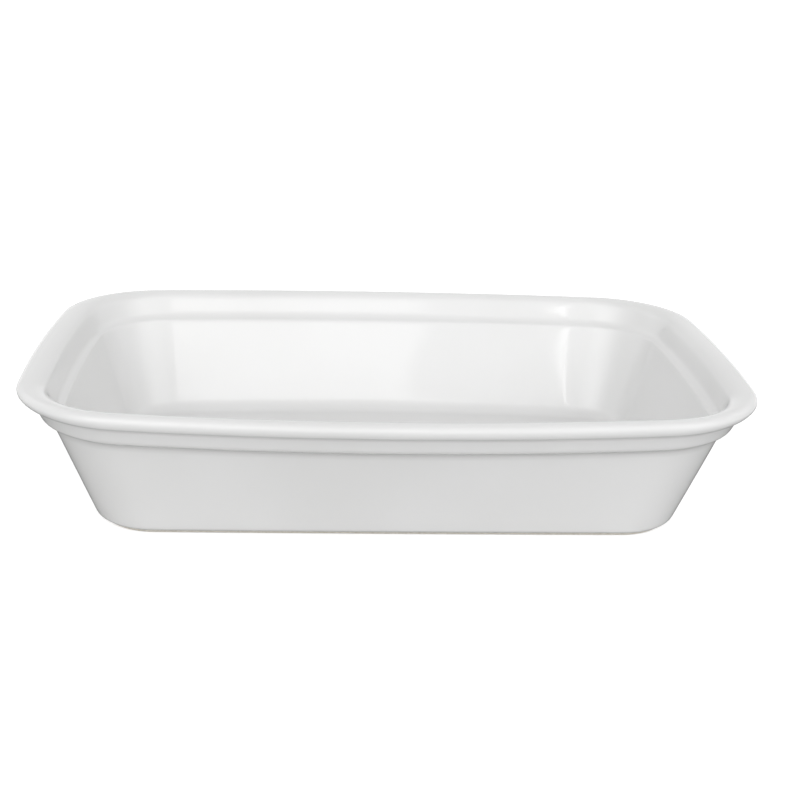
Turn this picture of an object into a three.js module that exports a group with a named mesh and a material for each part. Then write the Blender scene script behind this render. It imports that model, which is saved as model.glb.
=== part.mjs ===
// A rectangular oven dish of white glazed ceramic with a stepped rim.
// The fired clay body carries a thin coat of glaze. The coat stops at the foot ring, which is left bare
// so that the dish does not stick to the kiln shelf, and the glaze inside the ring is a patch of its own.
// Millimetres, +Z up, +X along the dish. The origin is the middle of the foot ring, on the table.
import * as THREE from "three";

// Overall sizes, over the lip and down to the table
const length = 380;
const width = 250;
const height = 75;

// Section: a wall of one thickness that flares and steps out under the rim. The lip is round outside
// and falls away inside on a wider shoulder.
const wallThickness = 5.4;
const floorThickness = 5.5;
const flareDegrees = 23.5;
const lipRadius = 4.1;
const lipOverhang = 2.8;
const shoulderRadius = 6.0;
const bandHeight = 8.4;
const ledgeWidth = 4.9;
const ledgeRiseDegrees = 25;

// At the ends, where the dish is held, the lip stands out further from the band and the rim is wider inside
const endOverhang = 3.0;
const endRimWidth = 5.0;

// Rounds and fillets of the section
const lipCreaseFillet = 0.7;
const bandRound = 4.5;
const ledgeCreaseFillet = 0.9;
const baseRound = 5.0;
const innerLedgeFillet = 6.8;
const innerLedgeRound = 2.5;
const floorFillet = 10;

// Foot ring under the base
const footHeight = 2.0;
const footWidth = 6.0;
const footSetback = 0.6;
const footChamfer = 0.4;

// Glaze, and the line that parts it from the clay
const glazeThickness = 0.5;
const bondGap = 0.1;

// Plan: sides that bow outwards, outside more at the rim than at the base. Inside they keep the rim's bow.
const rimLongSideRadius = 1260;
const rimShortSideRadius = 1030;
const rimCornerRadius = 58;
const baseLongSideRadius = 14000;
const baseShortSideRadius = 1000;
const baseCornerRadius = 32;

// The long sides sink a little in the firing
const rimDip = 1.1;

// Steps along each round of the section and along a quarter of the plan
const sectionStepDegrees = 24;
const wallSteps = 2;
const shortSideSteps = 2;
const cornerSteps = 6;
const longSideSteps = 3;

const flare = THREE.MathUtils.degToRad(flareDegrees);
const ledgeRise = THREE.MathUtils.degToRad(ledgeRiseDegrees);

// The section lies in a plane square to the rim. x is the inset from the outermost point of the lip,
// y is the height.
const point = (inset, z) => new THREE.Vector2(inset, z);
const towards = (from, direction, distance) => from.clone().addScaledVector(direction, distance);

const downWall = point(Math.sin(flare), -Math.cos(flare));
const outOfWall = point(-Math.cos(flare), -Math.sin(flare));
const alongLedge = point(Math.cos(ledgeRise), -Math.sin(ledgeRise));
const outOfLedge = point(-Math.sin(ledgeRise), -Math.cos(ledgeRise));

// Where two lines cross, each given by a point and a direction.
function crossing(a, alongA, b, alongB) {
  const turn = alongA.cross(alongB);
  return towards(a, alongA, b.clone().sub(a).cross(alongB) / turn);
}

// Points on an arc, close enough together for the section, with both ends.
function arc(centre, radius, from, to) {
  const steps = Math.max(2, Math.ceil(Math.abs(to - from) / THREE.MathUtils.degToRad(sectionStepDegrees)));
  return new THREE.ArcCurve(centre.x, centre.y, radius, from, to, to < from).getPoints(steps);
}

// The arc that rounds the corner between two lines through the point before, the corner and the point after.
function rounded(before, corner, after, radius) {
  const back = before.clone().sub(corner).normalize();
  const ahead = after.clone().sub(corner).normalize();
  const half = back.angleTo(ahead) / 2;
  const centre = towards(corner, back.clone().add(ahead).normalize(), radius / Math.sin(half));
  const first = towards(corner, back, radius / Math.tan(half)).sub(centre);
  const sweep = Math.sign(ahead.cross(back)) * (Math.PI - 2 * half);
  return arc(centre, radius, first.angle(), first.angle() + sweep);
}

// Points between two others on a straight run, without the ends.
function between(a, b, steps) {
  return Array.from({ length: steps - 1 }, (_, i) => a.clone().lerp(b, (i + 1) / steps));
}

// Corners of the section. The outer lines come first. The inner wall and ledge lie one wall thickness
// behind them, and the inner face of the rim runs down from the shoulder.
const lipCentre = point(lipRadius, height - lipRadius);
const shoulderCentre = point(lipRadius, height - shoulderRadius);
const lipToBand = lipRadius - lipOverhang;
const bandLine = towards(lipCentre, outOfWall, lipToBand);
const creaseReach = Math.sqrt((lipRadius + lipCreaseFillet) ** 2 - (lipToBand + lipCreaseFillet) ** 2);
const creaseCentre = towards(towards(bandLine, outOfWall, lipCreaseFillet), downWall, creaseReach);
const bandCorner = towards(bandLine, downWall, (lipRadius + bandHeight) / Math.cos(flare));
const wallTop = towards(bandCorner, alongLedge, ledgeWidth / Math.cos(ledgeRise));
const baseCorner = crossing(wallTop, downWall, point(0, footHeight), point(1, 0));

const innerBandLine = towards(shoulderCentre, outOfWall, -shoulderRadius);
const innerLedgeLine = towards(wallTop, outOfLedge, -wallThickness);
const innerWallLine = towards(wallTop, outOfWall, -wallThickness);
const floorHeight = footHeight + floorThickness;
const innerBandCorner = crossing(innerBandLine, downWall, innerLedgeLine, alongLedge);
const innerWallTop = crossing(innerWallLine, downWall, innerLedgeLine, alongLedge);
const floorCorner = crossing(innerWallLine, downWall, point(0, floorHeight), point(1, 0));

// The inner ledge is short, so its fillet takes no more than the round leaves free.
const innerLedgeRun = innerBandCorner.distanceTo(innerWallTop);
const innerLedgeTurn = Math.PI / 2 - ledgeRise - flare;
const ledgeFilletRoom = innerLedgeRun / Math.tan(innerLedgeTurn / 2) - innerLedgeRound;
const fittedLedgeFillet = Math.min(innerLedgeFillet, ledgeFilletRoom);

const baseRoundReach = baseRound / Math.tan((Math.PI / 2 + flare) / 2);
const footOuter = baseCorner.x + baseRoundReach + footSetback;
const footInner = footOuter + footWidth;

// A level of the section: a point, how far it is on the way from the rim to the base, how far the sides have
// lost the rim's bow there, and how far the level is drawn in at the ends of the dish.
const progress = (value, from, to) => THREE.MathUtils.clamp((value - from) / (to - from), 0, 1);

function outerLevel(p) {
  const share = progress(p.y, wallTop.y, footHeight);
  const drawnIn = endOverhang * progress(p.y, lipCentre.y, creaseCentre.y) * (1 - share);
  return { inset: p.x, z: p.y, share, straightened: share, drawnIn };
}

function innerLevel(p) {
  const share = progress(p.y, innerWallTop.y, floorHeight);
  const drawnIn = endRimWidth * progress(p.x, lipRadius, innerBandLine.x) * (1 - share);
  return { inset: p.x, z: p.y, share, straightened: 0, drawnIn };
}

// The glazed surface, from the foot ring up the outside, over the lip and down to the floor.
function glazedSection() {
  const creaseAngle = creaseCentre.clone().sub(lipCentre).angle();
  const bandAngle = outOfWall.clone().negate().angle();
  const base = rounded(point(footOuter, footHeight), baseCorner, wallTop, baseRound);
  const ledge = rounded(baseCorner, wallTop, bandCorner, ledgeCreaseFillet);
  const innerLedge = rounded(innerBandCorner, innerWallTop, floorCorner, innerLedgeRound);
  const floor = rounded(innerWallTop, floorCorner, point(width, floorHeight), floorFillet);
  const outside = [
    point(footOuter, footHeight),
    ...base,
    ...between(base.at(-1), ledge[0], wallSteps),
    ...ledge,
    ...rounded(wallTop, bandCorner, bandLine, bandRound),
    ...arc(creaseCentre, lipCreaseFillet, bandAngle, creaseAngle - Math.PI),
    ...arc(lipCentre, lipRadius, creaseAngle, Math.PI / 2).slice(1),
  ];
  const inside = [
    ...arc(shoulderCentre, shoulderRadius, Math.PI / 2, flare).slice(1),
    ...rounded(innerBandLine, innerBandCorner, innerWallTop, fittedLedgeFillet),
    ...innerLedge,
    ...between(innerLedge.at(-1), floor[0], wallSteps),
    ...floor,
  ];
  const levels = [...outside.map(outerLevel), ...inside.map(innerLevel)];
  return levels.map((level, order) => ({ ...level, order }));
}

// The same section moved into the clay by a distance, square to the surface.
function sunk(section, distance) {
  const at = section.map((level) => point(level.inset, level.z));
  return section.map((level, i) => {
    const before = at[i].clone().sub(at[Math.max(i - 1, 0)]).normalize();
    const after = at[Math.min(i + 1, at.length - 1)].clone().sub(at[i]).normalize();
    const along = before.clone().add(after).normalize();
    const mitre = distance / along.dot(after.lengthSq() ? after : before);
    return { ...level, inset: level.inset + along.y * mitre, z: level.z - along.x * mitre };
  });
}

// One quarter turn of the plan after another, anticlockwise from +X, as a closed ring.
function allRound(quarter) {
  const second = quarter.slice(0, -1).reverse().map((p) => point(-p.x, p.y));
  const upper = [...quarter, ...second];
  const lower = upper.slice(1, -1).reverse().map((p) => point(p.x, -p.y));
  return [...upper, ...lower];
}

// The centre of a corner arc that touches a long side arc and a short side arc from inside.
function cornerCentre(longCentre, longReach, shortCentre, shortReach) {
  const apart = shortCentre.clone().sub(longCentre);
  const distance = apart.length();
  const along = (longReach ** 2 - shortReach ** 2 + distance ** 2) / (2 * distance);
  const aside = Math.sqrt(longReach ** 2 - along ** 2);
  apart.normalize();
  return towards(towards(longCentre, apart, along), point(apart.y, -apart.x), aside);
}

// The dish's plan at a level of the section: bowed sides and round corners, all tangent to each other.
function ring({ inset, z, share, straightened, drawnIn }) {
  const bowed = (rim, base) => 1 / THREE.MathUtils.lerp(1 / rim, 1 / base, straightened) - inset;
  const longRadius = bowed(rimLongSideRadius, baseLongSideRadius);
  const shortRadius = bowed(rimShortSideRadius, baseShortSideRadius);
  const cornerGain = baseCornerRadius + baseCorner.x - rimCornerRadius;
  const cornerRadius = rimCornerRadius + cornerGain * share - inset;
  const longCentre = point(0, width / 2 - inset - longRadius);
  const shortCentre = point(length / 2 - inset - drawnIn - shortRadius, 0);
  const corner = cornerCentre(longCentre, longRadius - cornerRadius, shortCentre, shortRadius - cornerRadius);
  const shortEnd = corner.clone().sub(shortCentre).angle();
  const longStart = corner.clone().sub(longCentre).angle();
  const side = (centre, radius, from, to, steps) =>
    new THREE.ArcCurve(centre.x, centre.y, radius, from, to, false).getPoints(steps);
  const quarter = [
    ...side(shortCentre, shortRadius, 0, shortEnd, shortSideSteps),
    ...side(corner, cornerRadius, shortEnd, longStart, cornerSteps).slice(1),
    ...side(longCentre, longRadius, longStart, Math.PI / 2, longSideSteps).slice(1),
  ];
  const dip = (x) => rimDip * (1 - share) * (1 - (2 * x / length) ** 2);
  return allRound(quarter).map((p) => new THREE.Vector3(p.x, p.y, z - dip(p.x)));
}

// A closed skin through the rings of a section, with a point on the axis at either end.
// The levels run so that the outside is on the left: outwards along the underside, up the outside and in again.
// Faces are split the same way wherever they lie along the section, so that the glaze and the clay nest.
function skin(startHeight, levels, endHeight) {
  const rings = levels.map(ring);
  const around = rings[0].length;
  const quarterSteps = around / 4;
  const vertices = [new THREE.Vector3(0, 0, startHeight), ...rings.flat(), new THREE.Vector3(0, 0, endHeight)];
  const last = vertices.length - 1;
  const index = [];
  for (let i = 0; i < around; i++) {
    const next = (i + 1) % around;
    index.push(0, 1 + next, 1 + i);
    for (let row = 0; row < rings.length - 1; row++) {
      const low = 1 + row * around;
      const high = low + around;
      const rising = levels[row].order < levels[row + 1].order;
      const mirrored = Math.floor(i / quarterSteps) % 2 === 1;
      if (rising !== mirrored) {
        index.push(low + i, low + next, high + next, low + i, high + next, high + i);
      } else {
        index.push(low + i, low + next, high + i, low + next, high + next, high + i);
      }
    }
    const top = last - around;
    index.push(top + i, top + next, last);
  }
  const geometry = new THREE.BufferGeometry().setFromPoints(vertices).setIndex(index);
  geometry.computeVertexNormals();
  return geometry;
}

const glaze = glazedSection();
const bondedGlaze = glazeThickness - bondGap;

// The fired clay: bare at the foot ring, and under the glaze everywhere else.
function clayBody() {
  const underside = footHeight + glazeThickness;
  const bare = (inset, z) => ({ inset, z, share: 1, straightened: 1, drawnIn: 0, order: -1 });
  const foot = [
    bare(footInner, underside),
    bare(footInner, footChamfer),
    bare(footInner - footChamfer, 0),
    bare(footOuter + bondGap + footChamfer, 0),
    bare(footOuter + bondGap, footChamfer),
    bare(footOuter + bondGap, underside),
  ];
  return skin(underside, [...foot, ...sunk(glaze, glazeThickness).slice(1)], floorHeight - glazeThickness);
}

// The coat that shows: down the inside, over the lip and down the outside to the foot ring.
function glazeCoat() {
  const clayFace = sunk(glaze, bondedGlaze).reverse();
  return skin(floorHeight - bondedGlaze, [...clayFace, ...glaze], floorHeight);
}

// The patch of glaze under the base, inside the foot ring.
function undersideGlaze() {
  const edge = footInner + bondGap;
  const level = (z) => ({ inset: edge, z, share: 1, straightened: 1, drawnIn: 0, order: -1 });
  const clayFace = footHeight + bondedGlaze;
  return skin(footHeight, [level(footHeight), level(clayFace)], clayFace);
}

const bareClay = new THREE.MeshStandardMaterial({ color: 0xe6e1d6, roughness: 0.8, metalness: 0 });
const whiteGlaze = new THREE.MeshStandardMaterial({ color: 0xf2f2f0, roughness: 0.08, metalness: 0 });

const dish = new THREE.Group();
const pieces = [
  ["ceramic_body", clayBody(), bareClay],
  ["glaze_coat", glazeCoat(), whiteGlaze],
  ["underside_glaze", undersideGlaze(), whiteGlaze],
];
for (const [name, geometry, material] of pieces) {
  const mesh = new THREE.Mesh(geometry, material);
  mesh.name = name;
  dish.add(mesh);
}

export default dish;
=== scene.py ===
# %% [markdown]
# # A white glazed oven dish
# A rectangular ceramic dish with flared walls, sides that bow outwards, and a stepped rim with a round
# lip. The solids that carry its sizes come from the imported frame. This lesson gives the dish its looks: a
# smooth glazed surface, the bare clay of the foot ring, and the soft light of a photographer's table.

# %% Load the frame and keep its box
import math
import bmesh
import bpy
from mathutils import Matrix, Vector


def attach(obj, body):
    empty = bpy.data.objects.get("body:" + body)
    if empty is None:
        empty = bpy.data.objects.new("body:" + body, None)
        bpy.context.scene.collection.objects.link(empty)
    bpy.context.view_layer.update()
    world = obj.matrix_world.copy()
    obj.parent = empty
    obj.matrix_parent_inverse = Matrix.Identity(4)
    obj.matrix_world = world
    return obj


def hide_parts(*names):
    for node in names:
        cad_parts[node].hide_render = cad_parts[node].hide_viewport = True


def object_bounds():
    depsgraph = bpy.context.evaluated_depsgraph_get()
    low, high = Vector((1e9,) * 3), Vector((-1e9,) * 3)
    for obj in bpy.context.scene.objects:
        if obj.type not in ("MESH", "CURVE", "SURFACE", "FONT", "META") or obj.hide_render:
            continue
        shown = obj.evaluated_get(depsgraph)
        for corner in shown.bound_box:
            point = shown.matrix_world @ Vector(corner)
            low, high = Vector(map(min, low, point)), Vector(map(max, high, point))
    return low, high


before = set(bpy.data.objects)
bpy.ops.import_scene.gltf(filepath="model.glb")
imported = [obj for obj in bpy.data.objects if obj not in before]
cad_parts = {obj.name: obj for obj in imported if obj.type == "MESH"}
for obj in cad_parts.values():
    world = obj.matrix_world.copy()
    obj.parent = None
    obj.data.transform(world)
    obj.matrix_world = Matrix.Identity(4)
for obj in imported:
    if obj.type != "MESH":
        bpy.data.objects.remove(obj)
cad_low, cad_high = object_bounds()
print("nodes:", sorted(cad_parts))
print("CAD box, mm:", [round(v * 1000, 1) for v in cad_high - cad_low])

# %% [markdown]
# ## The section of the dish
# Ceramic ware is drawn as a section first: a wall of one thickness that flares, steps out under the rim
# and ends in a round lip. Inside, a soft shoulder and a ledge follow the step. Each corner of that
# section has its own round, because glaze runs off sharp edges. The section could be drawn as a curve by
# hand. It is worked out here from a few sizes instead, so that the glaze, the clay under it and the foot
# all agree to a tenth of a millimetre. A point of the section is an inset from the outermost point of the
# lip, and a height above the table.

# %% Sizes of the section, in metres
mm = 0.001
length = cad_high.x - cad_low.x
width = cad_high.y - cad_low.y
height = 75 * mm
wall_thickness = 5.4 * mm
floor_thickness = 5.5 * mm
flare = math.radians(23.5)
lip_radius = 4.1 * mm
lip_overhang = 2.8 * mm
shoulder_radius = 6.0 * mm
band_height = 8.4 * mm
ledge_width = 4.9 * mm
ledge_rise = math.radians(25)
end_overhang = 3.0 * mm
end_rim_width = 5.0 * mm
foot_height = 2.0 * mm
foot_width = 6.0 * mm
foot_setback = 0.6 * mm
glaze_thickness = 0.5 * mm
bond_gap = 0.1 * mm
print("over the lip, mm:", round(length / mm, 1), "x", round(width / mm, 1), "x", round(height / mm, 1))

# %% Small helpers for points of the section
def along(start, direction, distance):
    return start + direction * distance


def crossing(a, along_a, b, along_b):
    share = (b - a).cross(along_b) / along_a.cross(along_b)
    return a + along_a * share


def arc(centre, radius, start, end, step=math.radians(11)):
    steps = max(3, math.ceil(abs(end - start) / step))
    angles = [start + (end - start) * i / steps for i in range(steps + 1)]
    return [centre + radius * Vector((math.cos(a), math.sin(a))) for a in angles]


def rounded(before, corner, after, radius):
    back = (before - corner).normalized()
    ahead = (after - corner).normalized()
    half = back.angle(ahead) / 2
    centre = corner + (back + ahead).normalized() * (radius / math.sin(half))
    first = corner + back * (radius / math.tan(half)) - centre
    start = math.atan2(first.y, first.x)
    sweep = math.copysign(math.pi - 2 * half, ahead.cross(back))
    return arc(centre, radius, start, start + sweep)


def between(a, b, steps):
    return [a.lerp(b, i / steps) for i in range(1, steps)]

# %% Corners of the section, outside and then inside
down_wall = Vector((math.sin(flare), -math.cos(flare)))
out_of_wall = Vector((-math.cos(flare), -math.sin(flare)))
along_ledge = Vector((math.cos(ledge_rise), -math.sin(ledge_rise)))
out_of_ledge = Vector((-math.sin(ledge_rise), -math.cos(ledge_rise)))
level_line = Vector((1, 0))

lip_centre = Vector((lip_radius, height - lip_radius))
shoulder_centre = Vector((lip_radius, height - shoulder_radius))
lip_to_band = lip_radius - lip_overhang
band_line = along(lip_centre, out_of_wall, lip_to_band)
band_corner = along(band_line, down_wall, (lip_radius + band_height) / math.cos(flare))
wall_top = along(band_corner, along_ledge, ledge_width / math.cos(ledge_rise))
base_corner = crossing(wall_top, down_wall, Vector((0, foot_height)), level_line)

floor_height = foot_height + floor_thickness
inner_band_line = along(shoulder_centre, out_of_wall, -shoulder_radius)
inner_ledge_line = along(wall_top, out_of_ledge, -wall_thickness)
inner_wall_line = along(wall_top, out_of_wall, -wall_thickness)
inner_band_corner = crossing(inner_band_line, down_wall, inner_ledge_line, along_ledge)
inner_wall_top = crossing(inner_wall_line, down_wall, inner_ledge_line, along_ledge)
floor_corner = crossing(inner_wall_line, down_wall, Vector((0, floor_height)), level_line)
print("wall top, mm:", [round(v / mm, 2) for v in wall_top], "floor at", round(floor_height / mm, 2))

# %% The glazed section, from the foot ring over the lip to the floor
base_round = 5.0 * mm
ledge_crease = 0.9 * mm
band_round = 4.5 * mm
lip_crease = 0.7 * mm
inner_ledge_fillet = 6.8 * mm
inner_ledge_round = 2.5 * mm
floor_fillet = 10.0 * mm

foot_outer = base_corner.x + base_round / math.tan((math.pi / 2 + flare) / 2) + foot_setback
foot_inner = foot_outer + foot_width
crease_reach = math.sqrt((lip_radius + lip_crease) ** 2 - (lip_to_band + lip_crease) ** 2)
crease_centre = along(along(band_line, out_of_wall, lip_crease), down_wall, crease_reach)
to_crease = crease_centre - lip_centre
crease_angle = math.atan2(to_crease.y, to_crease.x)

foot_edge = Vector((foot_outer, foot_height))
base = rounded(foot_edge, base_corner, wall_top, base_round)
ledge = rounded(base_corner, wall_top, band_corner, ledge_crease)
band = rounded(wall_top, band_corner, band_line, band_round)
crease = arc(crease_centre, lip_crease, flare, crease_angle + math.pi)
lip_outside = arc(lip_centre, lip_radius, crease_angle + 2 * math.pi, math.pi / 2)[1:]
lip_inside = arc(shoulder_centre, shoulder_radius, math.pi / 2, flare)[1:]
inner_crease = rounded(inner_band_line, inner_band_corner, inner_wall_top, inner_ledge_fillet)
inner_ledge = rounded(inner_band_corner, inner_wall_top, floor_corner, inner_ledge_round)
floor_turn = rounded(inner_wall_top, floor_corner, Vector((width, floor_height)), floor_fillet)

# a ring close under the ledge keeps its crease tight when the coat is smoothed
below_ledge = ledge[0].lerp(base[-1], 0.04)
outside = [foot_edge, *base, *between(base[-1], below_ledge, 4), below_ledge, *ledge]
outside += [*band, *between(band[-1], crease[0], 4), *crease, *lip_outside]
inside = [*lip_inside, *between(lip_inside[-1], inner_crease[0], 2), *inner_crease]
inside += [*inner_ledge, *between(inner_ledge[-1], floor_turn[0], 4), *floor_turn]
print("points of the section:", len(outside), "outside and", len(inside), "inside")

# %% [markdown]
# ## The plan of the dish
# Seen from above the dish isn't a plain rectangle. Its sides are long flat arcs and its corners are
# round. Outside, the bow of the long sides fades towards the base, and inside it stays the same down to
# the floor. At the two ends the rim is broader, and the wall under it is drawn in. A subdivided box could
# be bent into that shape by eye. Here the plan is a function, so that every piece agrees: it gives the
# ring of points that a level of the section has on the dish. A level is an inset, a height, its share of
# the base's corners, its share of the base's straighter sides, and how far the ends are drawn in.

# %% The plan as a function
rim_long_side = 1260 * mm
rim_short_side = 1030 * mm
rim_corner = 58 * mm
base_long_side = 14000 * mm
base_short_side = 1000 * mm
base_corner_radius = 32 * mm
rim_dip = 1.1 * mm
short_side_steps, corner_steps, long_side_steps = 5, 15, 8
points_round = 4 * (short_side_steps + corner_steps + long_side_steps)


def corner_centre(long_centre, long_reach, short_centre, short_reach):
    apart = short_centre - long_centre
    distance = apart.length
    towards = (long_reach ** 2 - short_reach ** 2 + distance ** 2) / (2 * distance)
    aside = math.sqrt(long_reach ** 2 - towards ** 2)
    apart.normalize()
    return long_centre + apart * towards + Vector((apart.y, -apart.x)) * aside


def side_arc(centre, radius, start, end, steps):
    angles = [start + (end - start) * i / steps for i in range(steps)]
    return [centre + radius * Vector((math.cos(a), math.sin(a))) for a in angles]


def plan(level):
    inset, z, share, straight, drawn_in = level
    long_radius = 1 / ((1 - straight) / rim_long_side + straight / base_long_side) - inset
    short_radius = 1 / ((1 - straight) / rim_short_side + straight / base_short_side) - inset
    corner_gain = base_corner_radius + base_corner.x - rim_corner
    corner_radius = rim_corner + corner_gain * share - inset
    long_centre = Vector((0, width / 2 - inset - long_radius))
    short_centre = Vector((length / 2 - inset - drawn_in - short_radius, 0))
    long_reach, short_reach = long_radius - corner_radius, short_radius - corner_radius
    corner = corner_centre(long_centre, long_reach, short_centre, short_reach)
    short_end = math.atan2(*(corner - short_centre).yx)
    long_start = math.atan2(*(corner - long_centre).yx)
    quarter = side_arc(short_centre, short_radius, 0, short_end, short_side_steps)
    quarter += side_arc(corner, corner_radius, short_end, long_start, corner_steps)
    quarter += side_arc(long_centre, long_radius, long_start, math.pi / 2, long_side_steps)
    quarter.append(Vector((0, width / 2 - inset)))
    half = quarter + [Vector((-p.x, p.y)) for p in reversed(quarter[:-1])]
    ring = half + [Vector((p.x, -p.y)) for p in reversed(half[1:-1])]
    dip = rim_dip * (1 - share)
    return [Vector((p.x, p.y, z - dip * (1 - (2 * p.x / length) ** 2))) for p in ring]


print("points in a ring:", points_round, "and the plan gives", len(plan((0, height, 0, 0, 0))))

# %% Levels of the section, outside and inside
def progress(value, start, end):
    return min(max((value - start) / (end - start), 0), 1)


def outer_level(p):
    share = progress(p.y, wall_top.y, foot_height)
    under_lip = progress(p.y, lip_centre.y, crease_centre.y)
    return (p.x, p.y, share, share, end_overhang * under_lip * (1 - share))


def inner_level(p):
    share = progress(p.y, inner_wall_top.y, floor_height)
    past_lip = progress(p.x, lip_radius, inner_band_line.x)
    return (p.x, p.y, share, 0, end_rim_width * past_lip * (1 - share))


glazed_levels = [outer_level(p) for p in outside] + [inner_level(p) for p in inside]
print("levels of the glazed surface:", len(glazed_levels))

# %% [markdown]
# ## Raising a wall ring by ring
# On the wheel or in a mould a wall grows level by level. The same is done here in edit mode: a circle is
# added, its points are laid on the plan, and the ring is extruded again and again, each new ring on the
# plan of its level. A scaled extrusion would be quicker, but it would pull the round corners out of true.

# %% Raise a wall
def lay_ring(piece, level):
    mesh = bmesh.from_edit_mesh(piece.data)
    turn = math.pi / points_round
    by_angle = lambda p: (math.atan2(p.y, p.x) + turn) % (2 * math.pi)
    ring = sorted((v for v in mesh.verts if v.select), key=lambda v: by_angle(v.co))
    for vertex, place in zip(ring, sorted(plan(level), key=by_angle)):
        vertex.co = place
    bmesh.update_edit_mesh(piece.data)


def raise_wall(name, levels):
    bpy.ops.object.select_all(action="DESELECT")
    bpy.ops.mesh.primitive_circle_add(vertices=points_round, radius=length / 2, fill_type="NOTHING")
    piece = bpy.context.object
    piece.name = name
    bpy.ops.object.mode_set(mode="EDIT")
    lay_ring(piece, levels[0])
    for level in levels[1:]:
        bpy.ops.mesh.extrude_edges_move()
        lay_ring(piece, level)
    return piece


def close_with_face():
    bpy.ops.mesh.edge_face_add()
    bpy.ops.mesh.inset(thickness=2 * mm)


def close_open_edge():
    bpy.ops.mesh.select_all(action="DESELECT")
    bpy.ops.mesh.select_non_manifold()
    close_with_face()


def finish_wall(piece):
    bpy.ops.mesh.select_all(action="SELECT")
    bpy.ops.mesh.normals_make_consistent(inside=False)
    bpy.ops.object.mode_set(mode="OBJECT")
    bpy.ops.object.shade_smooth()
    highest = max(piece.data.polygons, key=lambda face: face.center.z)
    print(piece.name, "faces:", len(piece.data.polygons), "top faces up:", highest.normal.z > 0)

# %% [markdown]
# ## The glaze
# The coat that shows runs from the foot ring up the outside, over the lip and down to the floor. A solid
# dish could stand for it, but a coat ends at the foot and leaves the ring bare. So it is one open
# surface, raised from the foot ring and closed at the floor by a face.

# %% Model the coat
coat = raise_wall("white_glaze_coat", glazed_levels)
close_with_face()
finish_wall(coat)

# %% [markdown]
# ## Painted shade in the creases
# The creases under the lip and under the ledge lie in shade, so that shade is painted into the glaze's
# colour as a darker grey. That could be painted on by hand. Here each point of the coat keeps a number that
# says how near it is to the bottom of a crease, and the finish reads it later, so the painted shade stays
# in the crease when a size is changed.

# %% Note where the shade of the creases is painted
crease_shade_reach = 1.4 * mm
# painted shade: the two creases, under the lip and under the ledge, get a darker colour near their bottom
shaded_creases = [crease[len(crease) // 2], ledge[len(ledge) // 2]]
crease_shade = coat.data.attributes.new("crease_shade", "FLOAT", "POINT")
for i, value in enumerate(crease_shade.data):
    level = glazed_levels[min(i // points_round, len(glazed_levels) - 1)]
    away = min((Vector(level[:2]) - place).length for place in shaded_creases)
    value.value = max(0, 1 - away / crease_shade_reach)
print("points with pooled glaze:", sum(value.value > 0 for value in crease_shade.data))

# %% [markdown]
# ## The thickness of the coat
# A coat of glaze is about half a millimetre thick and has no facets. More rings would round it too, but a
# subdivision surface does it evenly. Solidify then adds the thickness inwards, so that the outer face
# stays where the frame has it.

# %% Smooth the coat and give it its thickness
smooth = coat.modifiers.new("smooth", "SUBSURF")
smooth.levels = 1
smooth.render_levels = 1
skin = coat.modifiers.new("skin", "SOLIDIFY")
skin.thickness = glaze_thickness - bond_gap
skin.offset = -1
for modifier in ("smooth", "skin"):
    bpy.ops.object.modifier_apply(modifier=modifier)
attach(coat, "root")
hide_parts("glaze_coat")
print("coat faces:", len(coat.data.polygons), "size, mm:", [round(v / mm, 1) for v in coat.dimensions])

# %% [markdown]
# ## The clay body
# Under the glaze is the fired clay. All that shows of it is the foot ring, ground flat and left bare so
# that the dish doesn't stick to the kiln shelf. A loose ring would look the same. The body follows the
# whole section instead, moved in by the thickness of the glaze, so that the foot grows out of a real wall
# and the coat has something under it wherever the dish is cut or chipped.

# %% Model the clay body
def sunk(levels, distance):
    points = [Vector(level[:2]) for level in levels]
    moved = []
    for i, point in enumerate(points):
        before = (point - points[max(i - 1, 0)]).normalized()
        after = (points[min(i + 1, len(points) - 1)] - point).normalized()
        run = (before + after).normalized()
        reach = distance / run.dot(after if after.length > 0 else before)
        moved.append((point.x + run.y * reach, point.y - run.x * reach, *levels[i][2:]))
    return moved


foot_round = 0.5 * mm
underside = foot_height + glaze_thickness
foot_side = foot_outer + bond_gap
outer_turn = arc(Vector((foot_side + foot_round, foot_round)), foot_round, -math.pi / 2, -math.pi)
inner_turn = arc(Vector((foot_inner - foot_round, foot_round)), foot_round, 0, -math.pi / 2)
foot = [Vector((foot_inner, underside)), *inner_turn, *outer_turn, Vector((foot_side, underside))]
foot_levels = [(p.x, p.y, 1, 1, 0) for p in foot]

clay = raise_wall("clay_body", foot_levels + sunk(glazed_levels, glaze_thickness)[1:])
close_with_face()
close_open_edge()
finish_wall(clay)
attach(clay, "root")
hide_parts("ceramic_body")

# %% [markdown]
# ## The glaze under the base
# Inside the foot ring the underside is glazed too. It is a thin patch that fills the recess and stops at
# the ring. A flat face would show the same. Two rings with a face on each give it the thickness that the
# coat has.

# %% Model the patch under the base
patch_edge = foot_inner + bond_gap
patch_top = foot_height + glaze_thickness - bond_gap
patch_levels = [(patch_edge, z, 1, 1, 0) for z in (foot_height, patch_top)]
patch = raise_wall("underside_glaze_patch", patch_levels)
close_with_face()
close_open_edge()
finish_wall(patch)
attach(patch, "root")
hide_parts("underside_glaze")

# %% [markdown]
# ## Finishes
# Glaze is glass, but its surface is never quite flat. It flowed in the kiln, so it has slow waves that
# bend a reflection and a faint orange peel, far too fine to model. Both are heights on Object
# coordinates, in one node group that any glazed piece can use. The white is a little cloudy, and it is
# darker in the creases, where shade is painted into its colour.

# %% Node helpers
def new_material(name):
    material = bpy.data.materials.new(name)
    material.use_nodes = True
    return material, material.node_tree


def add_node(tree, kind, **values):
    node = tree.nodes.new(kind)
    for key, value in values.items():
        setattr(node, key, value)
    return node


def set_inputs(node, **values):
    for key, value in values.items():
        node.inputs[key.replace("_", " ")].default_value = value
    return node


# places of a Mix node's sockets, for plain values and for colours
value_a, value_b = 2, 3
colour_a, colour_b, colour_result = 6, 7, 2

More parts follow.
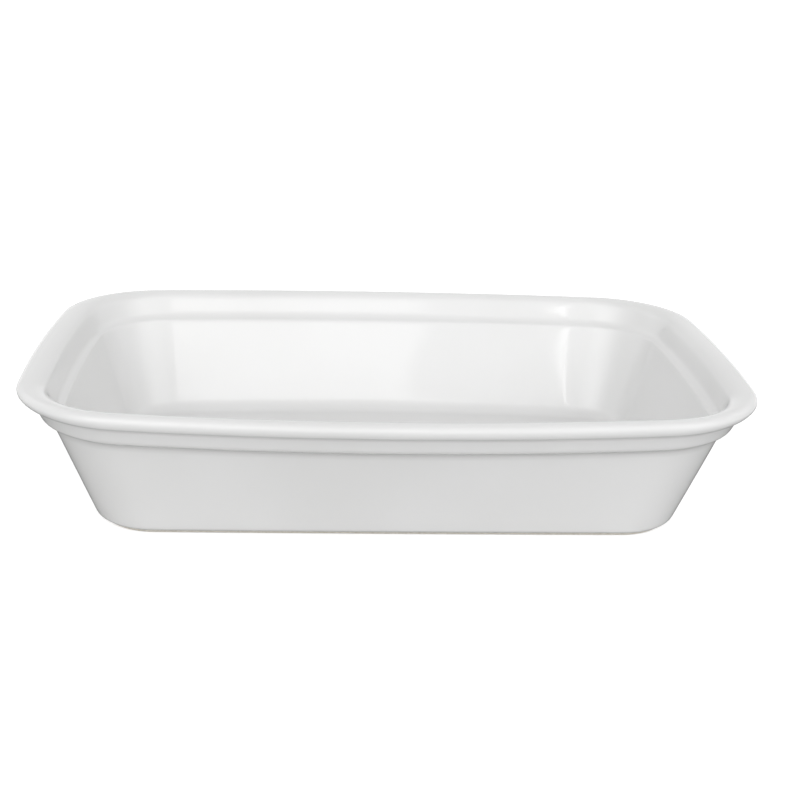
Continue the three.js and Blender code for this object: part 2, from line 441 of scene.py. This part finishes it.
# %% Node group: the flow of the glaze
def make_glaze_flow():
    group = bpy.data.node_groups.new("glaze_flow", "ShaderNodeTree")
    group.interface.new_socket("Vector", in_out="INPUT", socket_type="NodeSocketVector")
    group.interface.new_socket("Wave Scale", in_out="INPUT", socket_type="NodeSocketFloat")
    group.interface.new_socket("Peel Scale", in_out="INPUT", socket_type="NodeSocketFloat")
    group.interface.new_socket("Peel Share", in_out="INPUT", socket_type="NodeSocketFloat")
    group.interface.new_socket("Height", in_out="OUTPUT", socket_type="NodeSocketFloat")
    inside_group = add_node(group, "NodeGroupInput")
    out = add_node(group, "NodeGroupOutput")
    waves = set_inputs(add_node(group, "ShaderNodeTexNoise"), Detail=1.0, Roughness=0.4)
    peel = set_inputs(add_node(group, "ShaderNodeTexNoise"), Detail=1.0, Roughness=0.5)
    mix = add_node(group, "ShaderNodeMix", data_type="FLOAT")
    link = group.links.new
    link(inside_group.outputs["Vector"], waves.inputs["Vector"])
    link(inside_group.outputs["Vector"], peel.inputs["Vector"])
    link(inside_group.outputs["Wave Scale"], waves.inputs["Scale"])
    link(inside_group.outputs["Peel Scale"], peel.inputs["Scale"])
    link(inside_group.outputs["Peel Share"], mix.inputs["Factor"])
    link(waves.outputs["Fac"], mix.inputs[value_a])
    link(peel.outputs["Fac"], mix.inputs[value_b])
    link(mix.outputs["Result"], out.inputs["Height"])
    return group


glaze_flow = make_glaze_flow()
print("node group:", glaze_flow.name, [s.name for s in glaze_flow.interface.items_tree])

# %% White glaze
def white_glaze():
    material, tree = new_material("white_glaze")
    link = tree.links.new
    shader = tree.nodes["Principled BSDF"]
    set_inputs(shader, IOR=1.5, Specular_IOR_Level=0.5)
    place = add_node(tree, "ShaderNodeTexCoord")

    flow = add_node(tree, "ShaderNodeGroup", node_tree=glaze_flow)
    set_inputs(flow, Wave_Scale=26.0, Peel_Scale=330.0, Peel_Share=0.03)
    bump = set_inputs(add_node(tree, "ShaderNodeBump"), Strength=1.0, Distance=0.04 * mm)
    link(place.outputs["Object"], flow.inputs["Vector"])
    link(flow.outputs["Height"], bump.inputs["Height"])
    link(bump.outputs["Normal"], shader.inputs["Normal"])

    cloud = set_inputs(add_node(tree, "ShaderNodeTexNoise"), Scale=9.0, Detail=2.0)
    white = add_node(tree, "ShaderNodeValToRGB")
    white.color_ramp.elements[0].position = 0.35
    white.color_ramp.elements[0].color = (0.80, 0.80, 0.795, 1)
    white.color_ramp.elements[1].position = 0.65
    white.color_ramp.elements[1].color = (0.83, 0.83, 0.828, 1)
    # painted shade: the crease shade number mixes the white towards a darker grey in the creases
    shade_painted = add_node(tree, "ShaderNodeAttribute", attribute_name="crease_shade")
    tone = add_node(tree, "ShaderNodeMix", data_type="RGBA")
    tone.inputs[colour_b].default_value = (0.62, 0.62, 0.615, 1)
    link(place.outputs["Object"], cloud.inputs["Vector"])
    link(cloud.outputs["Fac"], white.inputs["Fac"])
    link(shade_painted.outputs["Fac"], tone.inputs["Factor"])
    link(white.outputs["Color"], tone.inputs[colour_a])
    link(tone.outputs[colour_result], shader.inputs["Base Color"])

    smudge = set_inputs(add_node(tree, "ShaderNodeTexNoise"), Scale=38.0, Detail=4.0)
    gloss = set_inputs(add_node(tree, "ShaderNodeMapRange"), To_Min=0.018, To_Max=0.032)
    set_inputs(gloss, From_Min=0.35, From_Max=0.7)
    link(place.outputs["Object"], smudge.inputs["Vector"])
    link(smudge.outputs["Fac"], gloss.inputs["Value"])
    link(gloss.outputs["Result"], shader.inputs["Roughness"])
    return material


glaze_finish = white_glaze()
coat.data.materials.append(glaze_finish)
patch.data.materials.append(glaze_finish)
print("finish:", glaze_finish.name, "on", coat.name, "and", patch.name)

# %% [markdown]
# ## Bare clay
# The foot ring is fired clay with no glass on it: warm off-white, matt, and sandy to the touch. One
# colour would make it look like plastic, so one fine grain gives both the specks and the roughness that
# is felt.

# %% Bare clay
def bare_clay():
    material, tree = new_material("bare_clay")
    link = tree.links.new
    shader = tree.nodes["Principled BSDF"]
    set_inputs(shader, Roughness=0.85)
    place = add_node(tree, "ShaderNodeTexCoord")
    grain = set_inputs(add_node(tree, "ShaderNodeTexNoise"), Scale=900.0, Detail=4.0)
    tone = add_node(tree, "ShaderNodeValToRGB")
    tone.color_ramp.elements[0].position = 0.3
    tone.color_ramp.elements[0].color = (0.66, 0.62, 0.54, 1)
    tone.color_ramp.elements[1].position = 0.6
    tone.color_ramp.elements[1].color = (0.80, 0.77, 0.70, 1)
    bump = set_inputs(add_node(tree, "ShaderNodeBump"), Strength=0.6, Distance=0.1 * mm)
    link(place.outputs["Object"], grain.inputs["Vector"])
    link(grain.outputs["Fac"], tone.inputs["Fac"])
    link(tone.outputs["Color"], shader.inputs["Base Color"])
    link(grain.outputs["Fac"], bump.inputs["Height"])
    link(bump.outputs["Normal"], shader.inputs["Normal"])
    return material


clay.data.materials.append(bare_clay())
print("finish:", clay.data.materials[0].name, "on", clay.name)

# %% [markdown]
# ## The table
# A pale table top that keeps the shadow. A brighter lamp would whiten it, but would burn out the dish as
# well. So to the camera, and in reflections, it gets a little light of its own, which lifts it to the
# white of the photograph without putting more light on the dish. Only a reflection from close by, along
# the dish's own edges, sees the table in a dark grey, which is painted shade on those edges.

# %% Rays that look at the surroundings
def looking(tree, further_than=0.0):
    """1 for rays from the camera or through glass, and for reflections of things beyond a distance."""
    link = tree.links.new
    path = add_node(tree, "ShaderNodeLightPath")
    far = add_node(tree, "ShaderNodeMath", operation="GREATER_THAN")
    far.inputs[1].default_value = further_than
    reflected = add_node(tree, "ShaderNodeMath", operation="MULTIPLY_ADD")
    total = add_node(tree, "ShaderNodeMath", operation="ADD", use_clamp=True)
    link(path.outputs["Ray Length"], far.inputs[0])
    link(path.outputs["Is Glossy Ray"], reflected.inputs[0])
    link(far.outputs[0], reflected.inputs[1])
    link(path.outputs["Is Transmission Ray"], reflected.inputs[2])
    link(path.outputs["Is Camera Ray"], total.inputs[0])
    link(reflected.outputs[0], total.inputs[1])
    return total

# %% Lay the table
table_lift = 0.6
near_dish = 0.3
table_size = 30
table_drop = 0.2 * mm


def table_finish():
    material, tree = new_material("white_table")
    link = tree.links.new
    shader = tree.nodes["Principled BSDF"]
    set_inputs(shader, Roughness=0.9, Specular_IOR_Level=0.0)
    shader.inputs["Emission Color"].default_value = (1, 1, 1, 1)
    seen = looking(tree, further_than=near_dish)
    lift = add_node(tree, "ShaderNodeMath", operation="MULTIPLY")
    lift.inputs[1].default_value = table_lift
    link(seen.outputs[0], lift.inputs[0])
    link(lift.outputs[0], shader.inputs["Emission Strength"])

    # painted shade: in close reflections the table's colour turns dark grey, which darkens the dish's edges
    path = add_node(tree, "ShaderNodeLightPath")
    close = add_node(tree, "ShaderNodeMath", operation="SUBTRACT", use_clamp=True)
    shade = add_node(tree, "ShaderNodeMix", data_type="RGBA")
    shade.inputs[colour_a].default_value = (0.8, 0.8, 0.8, 1)
    shade.inputs[colour_b].default_value = (0.2, 0.2, 0.2, 1)
    link(path.outputs["Is Glossy Ray"], close.inputs[0])
    link(seen.outputs[0], close.inputs[1])
    link(close.outputs[0], shade.inputs["Factor"])
    link(shade.outputs[colour_result], shader.inputs["Base Color"])
    return material


bpy.ops.object.select_all(action="DESELECT")
bpy.ops.mesh.primitive_plane_add(size=table_size, location=(0, 0, -table_drop))
table = bpy.context.object
table.name = "table"
table.data.materials.append(table_finish())
print("table:", table_size, "m wide")

# %% [markdown]
# ## Light
# The dish stood in a bright room. Most of the light came from the front left, less from the front right,
# and the room behind was dim. Large soft boxes would do, but their edges would show in the glaze. So the
# room is a world of soft glows: each is brightest in one direction and fades away around it. One pane of
# light behind the camera and a narrow one beside it are real lamps, because their edges do show, on the
# wall that faces the camera.

# %% World
def towards(azimuth, elevation):
    turn, lift = math.radians(azimuth), math.radians(elevation)
    return Vector((math.cos(lift) * math.cos(turn), math.cos(lift) * math.sin(turn), math.sin(lift)))


def add_glow(tree, place, below, azimuth, elevation, focus, brightness):
    """Adds brightness * e^(focus * (cosine - 1)) to the strength below, with the cosine to a direction."""
    link = tree.links.new
    cosine = add_node(tree, "ShaderNodeVectorMath", operation="DOT_PRODUCT")
    cosine.inputs[1].default_value = towards(azimuth, elevation)
    fall = add_node(tree, "ShaderNodeMath", operation="MULTIPLY_ADD")
    fall.inputs[1].default_value = focus
    fall.inputs[2].default_value = -focus
    glow = add_node(tree, "ShaderNodeMath", operation="EXPONENT")
    total = add_node(tree, "ShaderNodeMath", operation="MULTIPLY_ADD")
    total.inputs[1].default_value = brightness
    total.inputs[2].default_value = 0.0
    link(place.outputs["Generated"], cosine.inputs[0])
    link(cosine.outputs["Value"], fall.inputs[0])
    link(fall.outputs[0], glow.inputs[0])
    link(glow.outputs[0], total.inputs[0])
    if below:
        link(below.outputs[0], total.inputs[2])
    return total


def soft_room(glows):
    world = bpy.data.worlds.new("soft_room")
    bpy.context.scene.world = world
    world.use_nodes = True
    tree = world.node_tree
    link = tree.links.new
    tree.nodes.clear()
    out = add_node(tree, "ShaderNodeOutputWorld")
    place = add_node(tree, "ShaderNodeTexCoord")
    total = None
    for azimuth, elevation, focus, brightness in glows.values():
        total = add_glow(tree, place, total, azimuth, elevation, focus, brightness)
    white_walls = add_node(tree, "ShaderNodeMath", operation="ADD")
    room = set_inputs(add_node(tree, "ShaderNodeBackground"), Color=(1, 1, 1, 1))
    link(total.outputs[0], white_walls.inputs[0])
    link(looking(tree).outputs[0], white_walls.inputs[1])
    link(white_walls.outputs[0], room.inputs["Strength"])
    link(room.outputs[0], out.inputs["Surface"])


# azimuth and elevation in degrees, how tightly the glow is gathered, and its brightness
glows = {
    "front left": (-125, 32, 12, 2.8),
    "front right": (-40, 32, 12, 2.1),
    "front": (-70, 32, 12, 0.5),
    "low front": (-90, 10, 10, 1.1),
    "left": (150, 32, 12, 1.3),
    "right": (25, 32, 12, 1.0),
    "behind": (90, 8, 6, 0.35),
    "above": (90, 55, 8, 0.3),
}
soft_room(glows)
print("glows:", ", ".join(glows))

# %% Panes of light
def light_panel(name, place, aim, size, brightness):
    lamp = bpy.data.lights.new(name, "AREA")
    lamp.shape = "RECTANGLE"
    lamp.size, lamp.size_y = size
    lamp.energy = brightness * math.pi * size[0] * size[1]
    panel = bpy.data.objects.new(name, lamp)
    bpy.context.scene.collection.objects.link(panel)
    panel.location = place
    panel.rotation_euler = (Vector(aim) - Vector(place)).to_track_quat("-Z", "Y").to_euler()
    return panel


facing_wall = Vector((0, 0.095, 0.035))
pane_distance = 6.9
pane_elevation = 29.5
pane_height = 1.3
# azimuth in degrees, breadth and brightness
panes = {"wide_pane": (-85.35, 0.43, 1.6), "narrow_pane": (-88.82, 0.013, 5.2)}
for name, (azimuth, breadth, brightness) in panes.items():
    place = facing_wall + pane_distance * towards(azimuth, pane_elevation)
    light_panel(name, place, facing_wall, (breadth, pane_height), brightness)
print("panes:", ", ".join(panes))

# %% [markdown]
# ## Camera
# The camera stands where the photograph's lines put it: in front of a long side, about 22 degrees up, and
# rolled a little, because the photograph isn't quite level. Its place could be found by eye, but a fit of
# the outline and the rim's lines is closer.

# %% Camera
camera = bpy.data.objects.new("camera", bpy.data.cameras.new("camera"))
bpy.context.scene.collection.objects.link(camera)
camera.location = (-0.0382, -0.7292, 0.2974)
camera.rotation_euler = (math.radians(70.82), math.radians(-1.798), math.radians(-3.030))
camera.data.sensor_width = 36
camera.data.lens = 62.2
bpy.context.scene.camera = camera
bpy.context.scene.view_settings.view_transform = "Standard"
print("camera:", [round(v, 3) for v in camera.location], "lens", round(camera.data.lens, 1))
